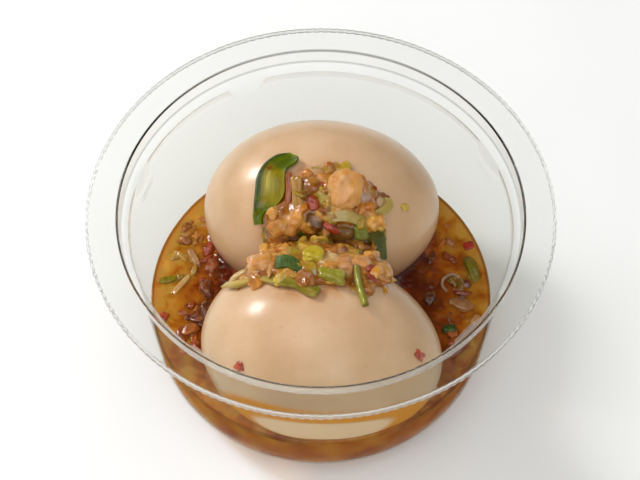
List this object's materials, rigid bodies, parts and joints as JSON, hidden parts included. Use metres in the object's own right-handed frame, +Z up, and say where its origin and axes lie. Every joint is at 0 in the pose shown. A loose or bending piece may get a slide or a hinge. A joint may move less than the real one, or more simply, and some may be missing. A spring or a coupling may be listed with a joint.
{
  "type": "marinated soft-boiled eggs in a clear cup",
  "caption": "Peeled eggs stained tan by a chilli-soy marinade, lying half sunk in it in a clear deli cup under a heap of chopped scallion and onion.",
  "frame": {"origin": "middle of the cup's footprint, on the surface it stands on", "axes": "+Z up along the cup's axis; -Y is the front, towards the viewer of the picture; the rear egg's long axis runs along X"},
  "size_m": [0.101, 0.101, 0.0525],
  "materials": {
    "clear_cup": "thermoformed clear PET, glossy",
    "marinade": "translucent soy and chilli marinade, wet",
    "egg_white": "boiled egg white stained tan, satin",
    "chopped_topping": "chopped onion, scallion and chilli in marinade, wet",
    "onion": "marinated onion, translucent and wet",
    "scallion_green": "scallion leaf, wet",
    "scallion_pale": "scallion stem, pale yellow-green, wet"
  },
  "bodies": {
    "root": {"cup": "clear_cup", "marinade": "marinade", "egg_rear": "egg_white", "egg_front": "egg_white", "topping_heap": "chopped_topping", "onion_chunk": "onion", "scallion_curl": "scallion_green", "scallion_leaf": "scallion_green", "scallion_cut": "scallion_green", "scallion_stalk": "scallion_green", "scallion_shred": "scallion_pale", "scallion_strip": "scallion_pale"}
  },
  "joints": []
}
